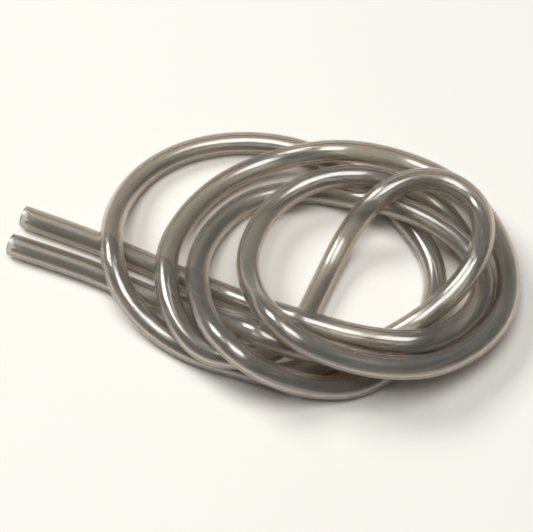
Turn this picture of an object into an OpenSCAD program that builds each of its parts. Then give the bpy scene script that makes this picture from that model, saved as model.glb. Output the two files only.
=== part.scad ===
// Clear silicone tubing, one length, folded in half and wound by hand into a loose flat coil.
// Lies on a table at z = 0, with both cut ends together on the left.

/* [Tube] */
// Outside diameter of the tube
tube_od = 9; // [7:0.25:9.25]
// Diameter of the bore
tube_id = 6; // [3:0.25:6.5]
// Straight length behind each cut end
end_len = 15; // [10:1:18]

/* [Coil] */
// Length of the coil on the table, without the straight cut ends
coil_len = 180; // [178:2:240]
// Air left between two strands that cross
strand_gap = 0.4; // [0.3:0.05:2]

/* [Facets] */
// Sides of the bent wall, outside and inside
wall_sides = 12; // [10:2:14]
// Bend between one ring of the wall and the next, in degrees
ring_bend = 14; // [12:1:24]
// Facets of the straight cut ends
end_facets = 48; // [32:8:96]

/* [Hidden] */
silicone = [0.47, 0.46, 0.43];

// The route, as [x, y, layer], for a coil that is 180 mm long. Layer 0 lies on the table,
// layer 1 on one strand, layer 2 on two. The tube runs from end A through all of them to end B.
drawn_len = 180;
strand_a = [
    [-79, 16, 0], [-60, 8, 0], [-42, -1, 0], [-24, -10, 0], [-8, -17, 0], [4, -26, 0.65],
    [16, -34, 1.35], [32, -38, 1], [48, -43, 1.3], [62, -44, 1.35], [74, -37, 0.95],
    [84, -27, 0.95], [88, -13, 1], [82, 1, 0.95], [68, 14, 1], [53, 21, 1.05], [40, 28, 0.35]
];
inner_loop = [
    [27, 34, 0], [11, 34, 0], [-3, 30, 0], [-14, 20, 0.05], [-21, 5, 0.6], [-24, -11, 1.1],
    [-21, -28, 1.4], [-16, -43, 2.1], [-5, -55, 2.05], [9, -58, 1.05], [23, -57, 0.15],
    [39, -56, 0], [53, -46, 0], [62, -39, 0]
];
outer_loop = [
    [66, -25, 0], [71, -9, 0], [67, 9, 0], [54, 27, 0], [41, 41, 0], [25, 53, 0], [5, 59, 0],
    [-14, 59, 0], [-32, 54, 0], [-47, 43, 0], [-55, 27, 0.3], [-57, 10, 1.05], [-56, -7, 1.2],
    [-50, -22, 0.7], [-38, -32, 0], [-23, -42, 0], [-6, -47, 0], [7, -52, 0], [22, -47, 0],
    [36, -43, 0], [49, -37, 0.3]
];
fold = [
    [60, -34, 1.1], [72, -25, 1.3], [82, -15, 1.95], [87, -2, 2.05], [88, 15, 1.7],
    [77, 27, 1.85], [61, 27, 2.1], [46, 19, 1.9], [35, 10, 0.5], [28, -4, 0], [21, -20, 0]
];
second_loop = [
    [15, -35, 0], [6, -45, 0.9], [-7, -50, 1.1], [-21, -46, 1], [-30, -34, 1],
    [-35, -18, 1.1], [-35, -2, 1.1], [-31, 14, 0.45], [-22, 30, 0.15], [-8, 42, 0.15],
    [10, 48, 0.4], [29, 47, 1.2], [46, 48, 0.8], [62, 46, 0.35], [79, 37, 0.25], [90, 23, 0.25],
    [97, 5, 0.25], [98, -12, 0.55], [94, -29, 0.8], [84, -42, 0.95], [71, -51, 1.15]
];
top_loop = [
    [58, -57, 1.7], [42, -57, 1.9], [26, -54, 2.25], [13, -50, 2.85], [4, -40, 2.9],
    [0, -28, 2], [-4, -12, 1.2], [-3, 4, 0.8], [4, 20, 0.7], [17, 31, 0.9], [33, 34, 1.3],
    [50, 33, 1.2], [65, 32, 0.3]
];
strand_b = [
    [76, 24, 0], [82, 9, 0], [88, -4, 0], [90, -19, 0], [84, -34, 0], [71, -43, 0.1],
    [57, -53, 0.8], [41, -51, 1.15], [25, -48, 1.2], [10, -48, 1.85], [-4, -41, 2],
    [-13, -30, 0.7], [-26, -22, 0], [-42, -16, 0], [-57, -8, 0], [-70, -2, 0], [-83, 3, 0]
];
drawn = concat(strand_a, inner_loop, outer_loop, fold, second_loop, top_loop, strand_b);

spread = coil_len / drawn_len;
guide = [for (p = drawn) [p.x * spread, p.y * spread, tube_od / 2 + p.z * (tube_od + strand_gap)]];
last = len(guide) - 1;
dir_a = unit(guide[0] - guide[1]);
dir_b = unit(guide[last] - guide[last - 1]);
// One more guide point past each end, in line, so that the curve starts and stops straight
knots = concat([2 * guide[0] - guide[1]], guide, [2 * guide[last] - guide[last - 1]]);

// How far the bent wall reaches into the wall of each cut end, and how clear it stays inside it
lap = 1;
inset = 0.05;
// A polygon's corners stand out by this much when its area is the circle's own
corner = sqrt(2 * PI / (wall_sides * sin(360 / wall_sides)));
outer_r = corner * tube_od / 2;
inner_r = corner * tube_id / 2;
outer_start_r = tube_od / 2 - inset;
inner_start_r = tube_id / 2 / cos(180 / wall_sides) + inset;

function unit(v) = v / norm(v);

// Point and direction on the uniform cubic B-spline piece i, for t from 0 to 1
function place(i, t) = (pow(1 - t, 3) * knots[i] + (3 * pow(t, 3) - 6 * t * t + 4) * knots[i + 1]
    + (-3 * pow(t, 3) + 3 * t * t + 3 * t + 1) * knots[i + 2] + pow(t, 3) * knots[i + 3]) / 6;
function heading(i, t) = unit(-pow(1 - t, 2) * knots[i] + (3 * t * t - 4 * t) * knots[i + 1]
    + (-3 * t * t + 2 * t + 1) * knots[i + 2] + t * t * knots[i + 3]);

// Rings along piece i: more where the tube bends more
function turn(i, from, to) = acos(min(1, heading(i, from) * heading(i, to)));
function rings_on(i) = max(1, ceil((turn(i, 0, 0.5) + turn(i, 0.5, 1)) / ring_bend));

// Every ring's place as [centre, direction], from end A to end B
stations = concat(
    [[guide[0] + lap * dir_a, -dir_a]],
    [for (i = [0 : last - 1], j = [1 : rings_on(i)])
        if (i < last - 1 || j < rings_on(i)) [place(i, j / rings_on(i)), heading(i, j / rings_on(i))]],
    [[guide[last] + lap * dir_b, dir_b]]
);
top_ring = len(stations) - 1;

function ring(station, r) = let (
        side = unit(cross([0, 0, 1], station[1])),
        up = cross(station[1], side)
    ) [for (k = [0 : wall_sides - 1]) let (a = (k + 0.5) * 360 / wall_sides)
        station[0] + r * (cos(a) * side + sin(a) * up)];
function is_end(s) = s == 0 || s == top_ring;
outside = [for (s = [0 : top_ring]) each ring(stations[s], is_end(s) ? outer_start_r : outer_r)];
inside = [for (s = [0 : top_ring]) each ring(stations[s], is_end(s) ? inner_start_r : inner_r)];

// How far a straight end reaches from p along axis k, on the low side or the high side
function end_box(p, d, k, way) = let (
        r = tube_od / 2 * sqrt(max(0, 1 - d[k] * d[k])),
        far = p[k] + end_len * d[k]
    ) way < 0 ? min(p[k], far) - r : max(p[k], far) + r;
function low(k) = min(concat([for (p = outside) p[k]],
    [end_box(guide[0], dir_a, k, -1), end_box(guide[last], dir_b, k, -1)]));
function high(k) = max(concat([for (p = outside) p[k]],
    [end_box(guide[0], dir_a, k, 1), end_box(guide[last], dir_b, k, 1)]));
origin = [(low(0) + high(0)) / 2, (low(1) + high(1)) / 2, low(2)];

// The wall along the bent route, hollow from one end to the other
module bent_wall() {
    n = wall_sides;
    inner = len(outside);
    skin = [for (s = [0 : top_ring - 1], k = [0 : n - 1]) let (a = s * n + k, b = s * n + (k + 1) % n)
        [a, a + n, b + n, b]];
    bore = [for (f = skin) [for (v = [3 : -1 : 0]) f[v] + inner]];
    start = [for (k = [0 : n - 1]) let (b = (k + 1) % n) [k, b, b + inner, k + inner]];
    stop = [for (f = start) [for (v = [3 : -1 : 0]) f[v] + top_ring * n]];
    polyhedron(concat(outside, inside), concat(skin, bore, start, stop), convexity = 12);
}

// A square-cut straight end, with a true round bore for a hose barb
module cut_end(p, d) {
    translate(p) rotate([0, 90, atan2(d.y, d.x)]) difference() {
        cylinder(h = end_len, d = tube_od, $fn = end_facets);
        translate([0, 0, -1]) cylinder(h = end_len + 2, d = tube_id, $fn = end_facets);
    }
}

module silicone_tube() {
    color(silicone) translate(-origin) {
        bent_wall();
        cut_end(guide[0], dir_a);
        cut_end(guide[last], dir_b);
    }
}

silicone_tube();
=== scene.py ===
import math
import bpy
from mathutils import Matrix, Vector


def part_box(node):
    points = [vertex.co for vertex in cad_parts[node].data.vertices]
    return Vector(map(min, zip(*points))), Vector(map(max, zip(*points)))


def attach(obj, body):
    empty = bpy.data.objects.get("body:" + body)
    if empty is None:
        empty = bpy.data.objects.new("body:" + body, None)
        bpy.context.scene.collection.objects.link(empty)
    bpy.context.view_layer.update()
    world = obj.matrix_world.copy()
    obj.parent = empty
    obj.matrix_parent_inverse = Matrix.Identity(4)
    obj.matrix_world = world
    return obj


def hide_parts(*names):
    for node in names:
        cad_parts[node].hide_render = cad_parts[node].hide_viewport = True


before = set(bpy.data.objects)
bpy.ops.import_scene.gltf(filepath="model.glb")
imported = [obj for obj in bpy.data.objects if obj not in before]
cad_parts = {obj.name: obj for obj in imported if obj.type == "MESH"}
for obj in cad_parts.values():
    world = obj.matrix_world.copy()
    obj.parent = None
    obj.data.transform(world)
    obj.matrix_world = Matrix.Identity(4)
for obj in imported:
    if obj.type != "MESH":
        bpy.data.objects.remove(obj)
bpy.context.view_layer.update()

scene = bpy.context.scene
bpy.ops.object.select_all(action="DESELECT")
scene.view_settings.view_transform = "Standard"

# camera, high at the front, looking down at the coil
view = {
    "place": (0.0021, -0.3486, 0.5375),
    "target": (0.0021, 0.0005, 0.0),
    "lens": 109.65,
    "sensor": 36.0,
    "nearest": 0.01,
}
bpy.ops.object.camera_add(location=view["place"])
camera = bpy.context.object
camera.name = "camera"
sight = Vector(view["target"]) - Vector(view["place"])
camera.rotation_euler = sight.to_track_quat("-Z", "Y").to_euler()
camera.data.lens = view["lens"]
camera.data.sensor_width = view["sensor"]
camera.data.clip_start = view["nearest"]
scene.camera = camera
print("camera placed")

# one hollow length from end A to end B, in millimetres until it is swept
tube = {
    "outside": 9.0,
    "bore": 6.0,
    "straightEnd": 15.0,
    "strandGap": 0.4,     # air that one layer leaves over the next; less between guide points
    "ringEvery": 1.6,     # distance between rings of the mesh
    "sidesOutside": 40,
    "edgeRound": 0.12,    # softened edge of each cut
    # route points as (x, y, layer); layer 0 lies on the table, layer 1 on one strand
    "strandA": [
        (-79, 16, 0), (-60, 8, 0), (-42, -1, 0), (-24, -10, 0), (-8, -17, 0), (4, -26, 0.65),
        (16, -34, 1.35), (32, -38, 1), (48, -43, 1.3), (62, -44, 1.35), (74, -37, 0.95),
        (84, -27, 0.95), (88, -13, 1), (82, 1, 0.95), (68, 14, 1), (53, 21, 1.05), (40, 28, 0.35),
    ],
    "innerLoop": [
        (27, 34, 0), (11, 34, 0), (-3, 30, 0), (-14, 20, 0.05), (-21, 5, 0.6), (-24, -11, 1.1),
        (-21, -28, 1.4), (-16, -43, 2.1), (-5, -55, 2.05), (9, -58, 1.05), (23, -57, 0.15),
        (39, -56, 0), (53, -46, 0), (62, -39, 0),
    ],
    "outerLoop": [
        (66, -25, 0), (71, -9, 0), (67, 9, 0), (54, 27, 0), (41, 41, 0), (25, 53, 0), (5, 59, 0),
        (-14, 59, 0), (-32, 54, 0), (-47, 43, 0), (-55, 27, 0.3), (-57, 10, 1.05), (-56, -7, 1.2),
        (-50, -22, 0.7), (-38, -32, 0), (-23, -42, 0), (-6, -47, 0), (7, -52, 0), (22, -47, 0),
        (36, -43, 0), (49, -37, 0.3),
    ],
    "fold": [
        (60, -34, 1.1), (72, -25, 1.3), (82, -15, 1.95), (87, -2, 2.05), (88, 15, 1.7),
        (77, 27, 1.85), (61, 27, 2.1), (46, 19, 1.9), (35, 10, 0.5), (28, -4, 0), (21, -20, 0),
    ],
    "secondLoop": [
        (15, -35, 0), (6, -45, 0.9), (-7, -50, 1.1), (-21, -46, 1), (-30, -34, 1),
        (-35, -18, 1.1), (-35, -2, 1.1), (-31, 14, 0.45), (-22, 30, 0.15), (-8, 42, 0.15),
        (10, 48, 0.4), (29, 47, 1.2), (46, 48, 0.8), (62, 46, 0.35), (79, 37, 0.25), (90, 23, 0.25),
        (97, 5, 0.25), (98, -12, 0.55), (94, -29, 0.8), (84, -42, 0.95), (71, -51, 1.15),
    ],
    "topLoop": [
        (58, -57, 1.7), (42, -57, 1.9), (26, -54, 2.25), (13, -50, 2.85), (4, -40, 2.9),
        (0, -28, 2), (-4, -12, 1.2), (-3, 4, 0.8), (4, 20, 0.7), (17, 31, 0.9), (33, 34, 1.3),
        (50, 33, 1.2), (65, 32, 0.3),
    ],
    "strandB": [
        (76, 24, 0), (82, 9, 0), (88, -4, 0), (90, -19, 0), (84, -34, 0), (71, -43, 0.1),
        (57, -53, 0.8), (41, -51, 1.15), (25, -48, 1.2), (10, -48, 1.85), (-4, -41, 2),
        (-13, -30, 0.7), (-26, -22, 0), (-42, -16, 0), (-57, -8, 0), (-70, -2, 0), (-83, 3, 0),
    ],
}


def splinePoint(a, b, c, d, t):
    # one piece of a uniform cubic B-spline, its place and its direction
    place = ((1 - t) ** 3 * a + (3 * t ** 3 - 6 * t * t + 4) * b
             + (-3 * t ** 3 + 3 * t * t + 3 * t + 1) * c + t ** 3 * d) / 6
    heading = -(1 - t) ** 2 * a + (3 * t * t - 4 * t) * b + (-3 * t * t + 2 * t + 1) * c + t * t * d
    return place, heading.normalized()


def layRoute(shape):
    stretches = ("strandA", "innerLoop", "outerLoop", "fold", "secondLoop", "topLoop", "strandB")
    rise = shape["outside"] + shape["strandGap"]
    guide = [Vector((x, y, shape["outside"] / 2 + layer * rise))
             for name in stretches for x, y, layer in shape[name]]
    dirA = (guide[0] - guide[1]).normalized()
    dirB = (guide[-1] - guide[-2]).normalized()
    knots = [2 * guide[0] - guide[1]] + guide + [2 * guide[-1] - guide[-2]]
    straight = shape["straightEnd"]
    steps = max(2, round(straight / shape["ringEvery"]))
    stations = [(guide[0] + dirA * straight * (1 - k / steps), -dirA) for k in range(steps)]
    for k in range(len(guide) - 1):
        count = max(2, round((guide[k + 1] - guide[k]).length / shape["ringEvery"]))
        stations += [splinePoint(*knots[k:k + 4], j / count) for j in range(count)]
    stations += [(guide[-1] + dirB * straight * k / steps, dirB) for k in range(steps + 1)]
    return stations


def sweepTube(shape, stations):
    # closed wall: outside skin, rounded cut edge, bore, and back to the start
    outer, inner = shape["outside"] / 2, shape["bore"] / 2
    soft = shape["edgeRound"]
    corner = 1 - math.cos(math.radians(45))
    first, last = stations[0], stations[-1]

    def endProfile(end, way):
        place, heading = end
        return [
            (place + heading * way * -soft, heading, outer),
            (place + heading * way * -soft * corner, heading, outer - soft * corner),
            (place, heading, outer - soft),
            (place, heading, inner + soft),
            (place + heading * way * -soft * corner, heading, inner + soft * corner),
            (place + heading * way * -soft, heading, inner),
        ]

    startCap = endProfile(first, -1)     # outward is against the heading at end A
    endCap = endProfile(last, 1)
    middle = stations[1:-1]
    rings = [(p, h, outer) for p, h in middle] + endCap
    rings += [(p, h, inner) for p, h in reversed(middle)] + startCap[::-1]
    sides = shape["sidesOutside"]
    points, travel = [], [0.0]
    for r, (place, heading, radius) in enumerate(rings):
        across = Vector((0, 0, 1)).cross(heading).normalized()
        up = heading.cross(across)
        if r:
            before = rings[r - 1]
            travel.append(travel[-1] + (place - before[0]).length + abs(radius - before[2]))
        for k in range(sides):
            a = 2 * math.pi * k / sides - math.pi / 2     # the seam runs along the underside
            points.append(place + radius * (math.cos(a) * across + math.sin(a) * up))
    travel.append(travel[-1] + 1)
    faces, flat = [], []
    total = len(rings)
    for r in range(total):
        for k in range(sides):
            near, far = r * sides, ((r + 1) % total) * sides
            right = (k + 1) % sides
            faces.append((near + k, near + right, far + right, far + k))
            turn = 2 * math.pi * outer / sides
            flat += [(travel[r], turn * k), (travel[r], turn * (k + 1)),
                     (travel[r + 1], turn * (k + 1)), (travel[r + 1], turn * k)]
    # the faces between the rings of one end's profile are the blade's cut
    cutWidth = len(endCap) - 1
    cutRings = set(range(len(middle), len(middle) + cutWidth)) | set(range(total - 1 - cutWidth, total - 1))
    cut = [1.0 if r in cutRings else 0.0 for r in range(total) for k in range(sides)]
    return points, faces, flat, cut


stations = layRoute(tube)
points, faces, flat, cut = sweepTube(tube, stations)
lowest = Vector([min(p[i] for p in points) for i in range(3)])
highest = Vector([max(p[i] for p in points) for i in range(3)])
boxLow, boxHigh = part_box("silicone_tube")
middle = (Vector(boxLow) + Vector(boxHigh)) / 2
drawnMiddle = (lowest + highest) / 2 / 1000     # the sweep is in millimetres
shift = Vector((middle.x - drawnMiddle.x, middle.y - drawnMiddle.y, 0))
mesh = bpy.data.meshes.new("siliconeTube")
mesh.from_pydata([p / 1000 + shift for p in points], [], faces)
mesh.update()
unrolled = mesh.uv_layers.new(name="alongTube")     # metres along, metres around
for corner, (along, around) in zip(unrolled.data, flat):
    corner.uv = (along / 1000, around / 1000)
bladeMark = mesh.attributes.new(name="bladeCut", type="FLOAT", domain="FACE")
bladeMark.data.foreach_set("value", cut)
siliconeTube = bpy.data.objects.new("siliconeTube", mesh)
scene.collection.objects.link(siliconeTube)
for polygon in mesh.polygons:
    polygon.use_smooth = True
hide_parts("silicone_tube")
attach(siliconeTube, "root")

# milky clear silicone: hazy inside, glossy skin, faint lines from the extrusion die
silicone = {
    "paleColour": (0.91, 0.93, 0.92, 1.0),
    "deepColour": (0.67, 0.82, 0.84, 1.0),
    "cloudScale": 55.0,             # haze, clouds of about 18 mm
    "cloudDetail": 3,
    "cloudSpan": (0.3, 0.7),        # noise values that reach the two roughnesses
    "clearShare": 0.92,
    "ior": 1.43,
    "roughness": (0.06, 0.11),
    "coat": 1.0,
    "coatRoughness": 0.22,
    "coatIor": 1.8,
    "absorb": (0.78, 0.52, 0.26, 1.0),
    "absorbDensity": 370.0,
    "cutRoughness": 0.5,            # the blade leaves both cut faces dull
    "dieLines": (25.0, 1400.0, 1.0),   # waves per metre along and around
    "dieLineDetail": 2,
    "dieLineDepth": 0.00001,
    "dustScale": 190.0,
    "dustSize": 0.03,
    "dustHeight": 0.00006,
}
material = bpy.data.materials.new("clearSilicone")
material.use_nodes = True
nodes, links = material.node_tree.nodes, material.node_tree.links
shader = nodes["Principled BSDF"]
shader.inputs["IOR"].default_value = silicone["ior"]
shader.inputs["Transmission Weight"].default_value = silicone["clearShare"]
shader.inputs["Coat Roughness"].default_value = silicone["coatRoughness"]
shader.inputs["Coat IOR"].default_value = silicone["coatIor"]
spot = nodes.new("ShaderNodeTexCoord")

clouds = nodes.new("ShaderNodeTexNoise")
clouds.inputs["Scale"].default_value = silicone["cloudScale"]
clouds.inputs["Detail"].default_value = silicone["cloudDetail"]
links.new(spot.outputs["Object"], clouds.inputs["Vector"])
haze = nodes.new("ShaderNodeMix")
haze.data_type = "RGBA"
haze.inputs["A"].default_value = silicone["deepColour"]
haze.inputs["B"].default_value = silicone["paleColour"]
links.new(clouds.outputs["Fac"], haze.inputs["Factor"])
links.new(haze.outputs["Result"], shader.inputs["Base Color"])
dull = nodes.new("ShaderNodeMapRange")
dull.inputs["From Min"].default_value, dull.inputs["From Max"].default_value = silicone["cloudSpan"]
dull.inputs["To Min"].default_value, dull.inputs["To Max"].default_value = silicone["roughness"]
links.new(clouds.outputs["Fac"], dull.inputs["Value"])
bladeCut = nodes.new("ShaderNodeAttribute")
bladeCut.attribute_name = "bladeCut"
skin = nodes.new("ShaderNodeMix")
skin.inputs["B"].default_value = silicone["cutRoughness"]
links.new(bladeCut.outputs["Fac"], skin.inputs["Factor"])
links.new(dull.outputs["Result"], skin.inputs["A"])
links.new(skin.outputs["Result"], shader.inputs["Roughness"])
gloss = nodes.new("ShaderNodeMapRange")
gloss.inputs["To Min"].default_value = silicone["coat"]
gloss.inputs["To Max"].default_value = 0.0
links.new(bladeCut.outputs["Fac"], gloss.inputs["Value"])
links.new(gloss.outputs["Result"], shader.inputs["Coat Weight"])

stretch = nodes.new("ShaderNodeMapping")
stretch.inputs["Scale"].default_value = silicone["dieLines"]
links.new(spot.outputs["UV"], stretch.inputs["Vector"])
dieLines = nodes.new("ShaderNodeTexNoise")
dieLines.inputs["Scale"].default_value = 1.0
dieLines.inputs["Detail"].default_value = silicone["dieLineDetail"]
links.new(stretch.outputs["Vector"], dieLines.inputs["Vector"])
lineBump = nodes.new("ShaderNodeBump")
lineBump.inputs["Distance"].default_value = silicone["dieLineDepth"]
links.new(dieLines.outputs["Fac"], lineBump.inputs["Height"])

dust = nodes.new("ShaderNodeTexVoronoi")
dust.inputs["Scale"].default_value = silicone["dustScale"]
links.new(spot.outputs["Object"], dust.inputs["Vector"])
grains = nodes.new("ShaderNodeMapRange")
grains.inputs["From Min"].default_value = 0.0
grains.inputs["From Max"].default_value = silicone["dustSize"]
grains.inputs["To Min"].default_value = 1.0
grains.inputs["To Max"].default_value = 0.0
links.new(dust.outputs["Distance"], grains.inputs["Value"])
dustBump = nodes.new("ShaderNodeBump")
dustBump.inputs["Distance"].default_value = silicone["dustHeight"]
links.new(grains.outputs["Result"], dustBump.inputs["Height"])
links.new(lineBump.outputs["Normal"], dustBump.inputs["Normal"])
links.new(dustBump.outputs["Normal"], shader.inputs["Normal"])

absorb = nodes.new("ShaderNodeVolumeAbsorption")
absorb.inputs["Color"].default_value = silicone["absorb"]
absorb.inputs["Density"].default_value = silicone["absorbDensity"]
links.new(absorb.outputs["Volume"], nodes["Material Output"].inputs["Volume"])
mesh.materials.append(material)
print("silicone mixed")

# plain pale table
table = {
    "width": 6.0,
    "colour": (0.93, 0.905, 0.84, 1),
    "roughness": 0.9,
    "specular": 0.1,
}
bpy.ops.object.select_all(action="DESELECT")
bpy.ops.mesh.primitive_plane_add(size=table["width"], location=(0, 0, 0))
floor = bpy.context.object
floor.name = "floor"
floorMaterial = bpy.data.materials.new("paleFloor")
floorMaterial.use_nodes = True
floorShader = floorMaterial.node_tree.nodes["Principled BSDF"]
floorShader.inputs["Base Color"].default_value = table["colour"]
floorShader.inputs["Roughness"].default_value = table["roughness"]
floorShader.inputs["Specular IOR Level"].default_value = table["specular"]
floor.data.materials.append(floorMaterial)

# a large softbox overhead and a smaller one at the back left
lamps = {
    "overheadSoftbox": {
        "toward": (-0.03, -0.11, 0.99), "far": 2.0, "size": (1.03, 1.22), "watts": 25.5,
    },
    "backSoftbox": {
        "toward": (-0.58, 0.36, 0.73), "far": 2.6, "size": (1.03, 1.03), "watts": 37.0,
    },
}
for name, lamp in lamps.items():
    place = Vector(lamp["toward"]).normalized() * lamp["far"]
    bpy.ops.object.light_add(type="AREA", location=place)
    light = bpy.context.object
    light.name = name
    light.data.shape = "RECTANGLE"
    light.data.size, light.data.size_y = lamp["size"]
    light.data.energy = lamp["watts"]
    light.rotation_euler = (-place).to_track_quat("-Z", "Y").to_euler()

studio = {"colour": (0.95, 0.98, 1.0, 1), "strength": 0.08}
world = bpy.data.worlds.new("studio")
scene.world = world
world.use_nodes = True
surround = world.node_tree.nodes["Background"]
surround.inputs["Color"].default_value = studio["colour"]
surround.inputs["Strength"].default_value = studio["strength"]
scene.cycles.use_denoising = True
